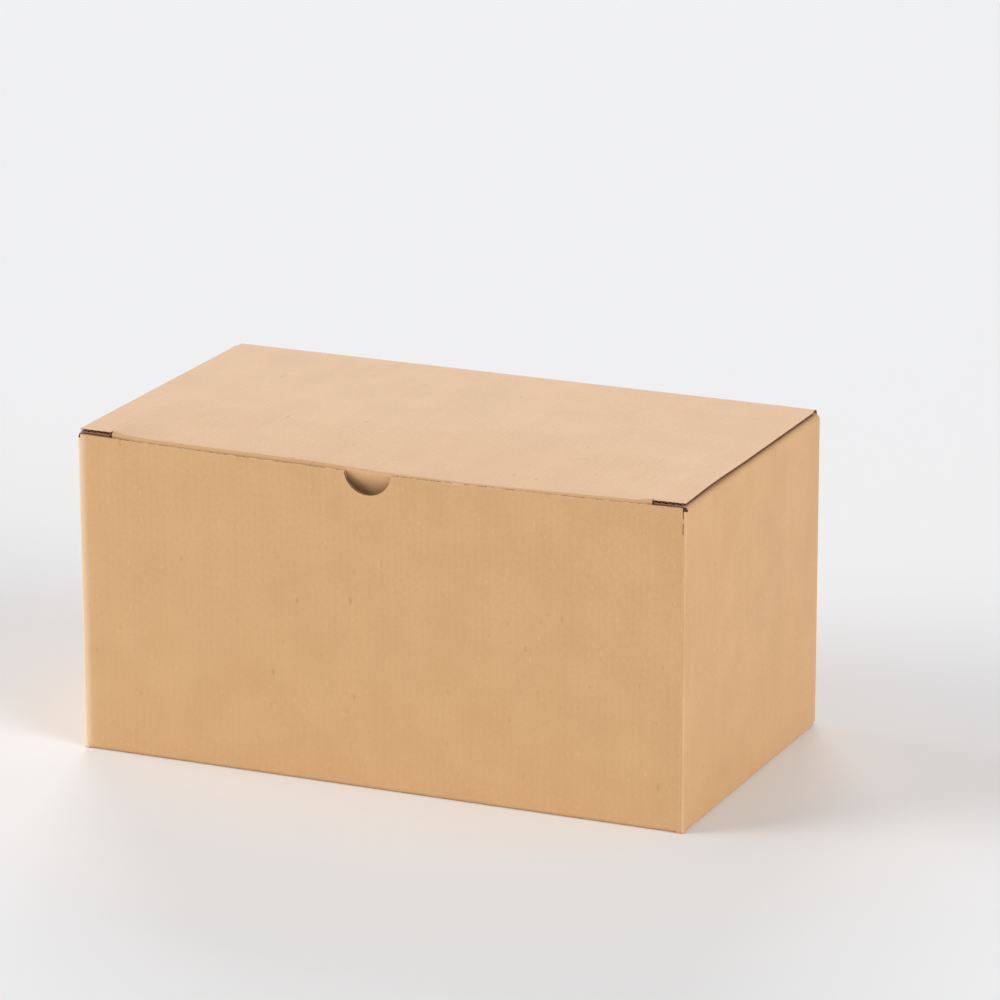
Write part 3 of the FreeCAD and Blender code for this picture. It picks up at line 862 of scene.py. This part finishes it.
def painted_fold_highlight(tree, blank, strength):
    """A painted highlight: strength along the left front fold, fading to 0 on either side of it."""
    along = add(tree, "ShaderNodeSeparateXYZ", {"Vector": (blank, "UV")})
    fold_u = (LEFT_START + FRONT_LEFT) / 2
    away = add(tree, "ShaderNodeMath", {0: (along, "X"), 1: fold_u}, operation="SUBTRACT")
    away = add(tree, "ShaderNodeMath", {0: (away, 0)}, operation="ABSOLUTE")
    return add(
        tree, "ShaderNodeMapRange",
        {"Value": (away, 0), "From Max": FOLD_HIGHLIGHT_WIDTH, "To Min": strength, "To Max": 0},
        interpolation_type="SMOOTHSTEP",
    )


def kraft_paper(name, pale, dark, rough, flute_relief, fold_highlight=0):
    """Unbleached kraft: matt brown paper with fibres and soft clouds, and faint flute lines as bumps
    and as painted shade.
    """
    material = bpy.data.materials.new(name)
    material.use_nodes = True
    tree = material.node_tree
    shader = tree.nodes["Principled BSDF"]
    blank = add(tree, "ShaderNodeUVMap", uv_map="blank")
    cloud = paper_noise(tree, blank, 38, 2)
    mottle = paper_noise(tree, blank, 420, 4, rough=0.65)
    fibre = paper_noise(tree, blank, 1700, 3, stretch=(0.3, 1, 1))
    streak = paper_noise(tree, blank, 140, 2, stretch=(1, 0.06, 1))
    flute = add(
        tree, "ShaderNodeTexWave",
        {"Vector": (blank, "UV"), "Scale": math.pi / 10 / FLUTE_PITCH},
        wave_type="BANDS", bands_direction="X",
    )
    cloudy = {"Value": (cloud, "Fac"), "From Min": 0.3, "From Max": 0.7}
    tone = add(tree, "ShaderNodeMapRange", cloudy)
    base = laid_over(tree, linear(pale), (tone, "Result"), dark)
    # The streak and flute terms are painted shade of the flute ridges under the liner; the mottle and
    # fibre terms are the paper's own grain
    light = weighted_sum(tree, (
        (mottle, "Fac", 0.13), (fibre, "Fac", 0.12), (streak, "Fac", 0.06), (flute, "Fac", 0.012),
    ))
    shaded = add(tree, "ShaderNodeVectorMath", {0: base, "Scale": (light, 0)}, operation="SCALE")
    colour = (shaded, 0)
    for fibre_colour, *shape in FIBRES:
        colour = laid_over(tree, colour, (flecks(tree, blank, *shape), 0), fibre_colour)
    # Painted highlight along the left front fold, laid over the paper's colour
    if fold_highlight:
        colour = laid_over(tree, colour, (painted_fold_highlight(tree, blank, fold_highlight), "Result"), FOLD_HIGHLIGHT_COLOUR)
    tree.links.new(colour[0].outputs[colour[1]], shader.inputs["Base Color"])
    shader.inputs["Roughness"].default_value = rough
    shader.inputs["Specular IOR Level"].default_value = 0.5
    grain = add(tree, "ShaderNodeMath", {0: (fibre, "Fac"), 1: (mottle, "Fac")}, operation="ADD")
    rib = add(tree, "ShaderNodeMath", {0: (flute, "Fac"), 1: flute_relief}, operation="MULTIPLY")
    relief = add(tree, "ShaderNodeMath", {0: (grain, 0), 1: (rib, 0)}, operation="ADD")
    raised = {"Height": (relief, 0), "Strength": 0.2, "Distance": RELIEF_DEPTH}
    bump = add(tree, "ShaderNodeBump", raised)
    tree.links.new(bump.outputs["Normal"], shader.inputs["Normal"])
    return material


def pale_floor():
    """A wide level floor that only the pictures have."""
    mesh = bpy.data.meshes.new("floor")
    bm = bmesh.new()
    bmesh.ops.create_grid(bm, x_segments=1, y_segments=1, size=FLOOR_SIZE)
    bm.to_mesh(mesh)
    bm.free()
    floor = bpy.data.objects.new("floor", mesh)
    bpy.context.scene.collection.objects.link(floor)
    pale = bpy.data.materials.new("pale floor")
    pale.use_nodes = True
    shader = pale.node_tree.nodes["Principled BSDF"]
    shader.inputs["Base Color"].default_value = linear(FLOOR_COLOUR)
    shader.inputs["Roughness"].default_value = 0.9
    mesh.materials.append(pale)


def add_lamps():
    """Soft light from both sides and from behind."""
    for name, place, angle, strength, colour in LAMPS:
        light = bpy.data.lights.new(name, "SUN")
        light.angle = math.radians(angle)
        light.energy = strength
        light.color = linear(colour)[:3]
        lamp = bpy.data.objects.new(name, light)
        lamp.location = place
        lamp.rotation_euler = (-Vector(place)).to_track_quat("-Z", "Y").to_euler()
        bpy.context.scene.collection.objects.link(lamp)


def add_camera():
    """The photograph's camera."""
    level = math.cos(CAMERA_ELEVATION)
    away = Vector((
        math.sin(CAMERA_AZIMUTH) * level, -math.cos(CAMERA_AZIMUTH) * level,
        math.sin(CAMERA_ELEVATION),
    ))
    lens = bpy.data.cameras.new("camera")
    lens.sensor_width = CAMERA_SENSOR
    lens.lens = CAMERA_LENS
    lens.clip_end = CAMERA_FAR
    camera = bpy.data.objects.new("camera", lens)
    camera.location = CAMERA_TARGET + away * CAMERA_DISTANCE
    camera.rotation_euler = (-away).to_track_quat("-Z", "Y").to_euler()
    bpy.context.scene.collection.objects.link(camera)
    bpy.context.scene.camera = camera


def studio():
    """Pale surroundings and floor, the lamps and the camera."""
    scene = bpy.context.scene
    scene.view_settings.view_transform = "Standard"
    world = bpy.data.worlds.new("studio")
    scene.world = world
    world.use_nodes = True
    sky = world.node_tree.nodes["Background"]
    sky.inputs["Color"].default_value = linear(SKY_COLOUR)
    sky.inputs["Strength"].default_value = SKY_STRENGTH
    pale_floor()
    add_lamps()
    add_camera()


materials = (
    # The outside liner carries the painted highlight along the left front fold
    kraft_paper("kraft liner", "#D8AC7A", "#D3A674", 0.62, 0.6, FOLD_HIGHLIGHT),
    kraft_paper("kraft liner inside", "#C89A6A", "#C0905F", 0.7, 1.0),
    kraft_paper("kraft flute paper", "#8C6040", "#7C5336", 0.85, 0),
    kraft_paper("cut board edge", "#C79B7C", "#B0825F", 0.85, 0),
    # Pressed board edges: pale paper, partly a painted highlight
    kraft_paper("pressed board edge and highlight", "#E6C090", "#DEB684", 0.75, 0),
)
build_carton(materials)
lid_crease = build_lid(materials)[1]
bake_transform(lid_crease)
studio()
